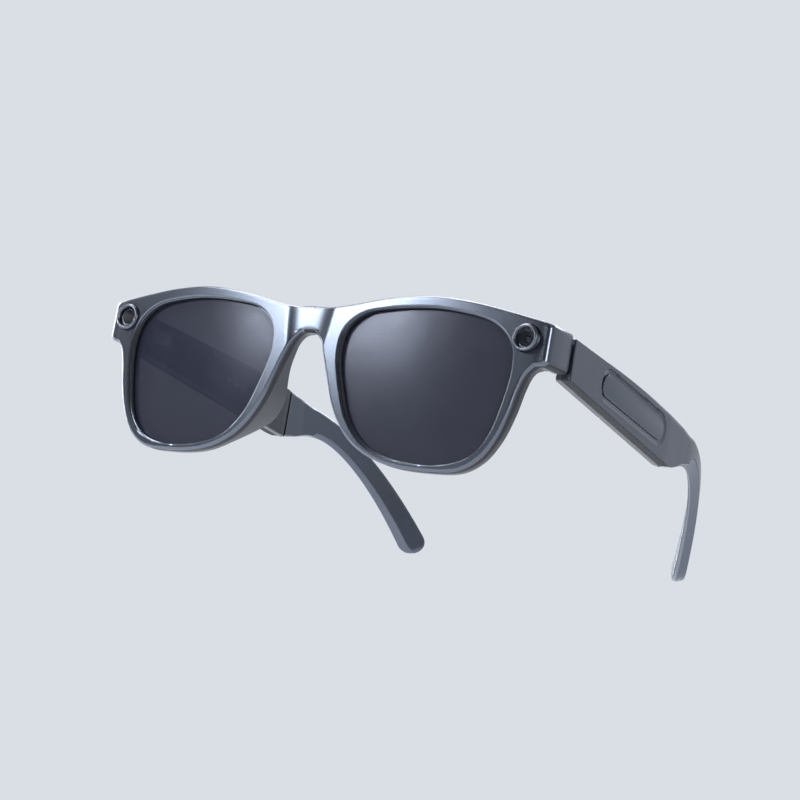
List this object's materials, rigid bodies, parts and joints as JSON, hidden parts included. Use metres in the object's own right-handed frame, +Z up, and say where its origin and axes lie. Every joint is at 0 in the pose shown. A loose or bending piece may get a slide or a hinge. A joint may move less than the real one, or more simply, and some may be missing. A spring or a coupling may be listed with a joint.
{
  "type": "smart glasses",
  "caption": "Full-rim glasses with a camera and a light in the corners, tinted lenses, and folding temples that hold a touch pad, speakers, battery and board.",
  "frame": {"origin": "on the surface that the rims and the ear hooks stand on, under the middle of the glasses", "axes": "+Z up, -Y is the way the lenses face, +X is the wearer's left; +Y runs back along the temples"},
  "size_m": [0.145, 0.1524, 0.0472],
  "materials": {
    "satin_graphite": "satin anodised",
    "matte_slate": "matte moulded",
    "tinted_lens": "dark grey tint, polished",
    "bezel_metal": "turned, bright edges",
    "window_glass": "polished",
    "black_plastic": "matte",
    "circuit_board": "satin",
    "reflector": "polished",
    "flex_copper": "satin",
    "steel": "brushed",
    "battery_foil": "satin foil",
    "gold_contact": "polished"
  },
  "bodies": {
    "front": {"front_shell": "satin_graphite", "rear_shell": "matte_slate", "left_lens": "tinted_lens", "right_lens": "tinted_lens", "camera_bezel": "bezel_metal", "camera_window": "window_glass", "camera_barrel": "black_plastic", "camera_sensor": "circuit_board", "light_bezel": "bezel_metal", "light_window": "window_glass", "light_reflector": "reflector", "light_board": "circuit_board", "brow_flex_cable": "flex_copper", "bridge_microphone": "circuit_board", "left_front_hinge": "steel", "right_front_hinge": "steel", "left_hinge_pin": "steel", "right_hinge_pin": "steel", "front_hinge_screws": "steel"},
    "left_temple": {"left_temple_shell": "satin_graphite", "left_temple_cover": "matte_slate", "left_temple_hinge": "steel", "left_hinge_screws": "steel", "left_core_wire": "steel", "touch_pad": "satin_graphite", "touch_sensor_board": "circuit_board", "main_board": "circuit_board", "left_speaker": "black_plastic", "left_speaker_grille": "black_plastic", "left_cover_screws": "steel"},
    "right_temple": {"right_temple_shell": "satin_graphite", "right_temple_cover": "matte_slate", "right_temple_hinge": "steel", "right_hinge_screws": "steel", "right_core_wire": "steel", "battery": "battery_foil", "battery_cable": "flex_copper", "right_speaker": "black_plastic", "right_speaker_grille": "black_plastic", "button_switch": "black_plastic", "wear_sensor_window": "window_glass", "wear_sensor": "circuit_board", "charging_contacts": "gold_contact", "right_cover_screws": "steel"},
    "capture_button": {"capture_button": "bezel_metal"},
    "power_switch": {"power_switch": "black_plastic"}
  },
  "joints": [
    {"name": "left_temple_fold", "type": "hinge", "parent": "front", "child": "left_temple", "pos_m": [0.0664, -0.05781, 0.03643], "axis": [0, -0.0401, 0.9992], "range_deg": [0, 84]},
    {"name": "right_temple_fold", "type": "hinge", "parent": "front", "child": "right_temple", "pos_m": [-0.0664, -0.05781, 0.03643], "axis": [0, 0.0401, -0.9992], "range_deg": [0, 72]},
    {"name": "capture_button_press", "type": "slide", "parent": "right_temple", "child": "capture_button", "axis": [-0.0052, -0.0714, -0.9974], "range_m": [0, 0.0007], "stiffness_N_per_m": 500},
    {"name": "power_switch_slide", "type": "slide", "parent": "left_temple", "child": "power_switch", "axis": [-0.0459, 0.9964, -0.0715], "range_m": [0, 0.003]}
  ]
}
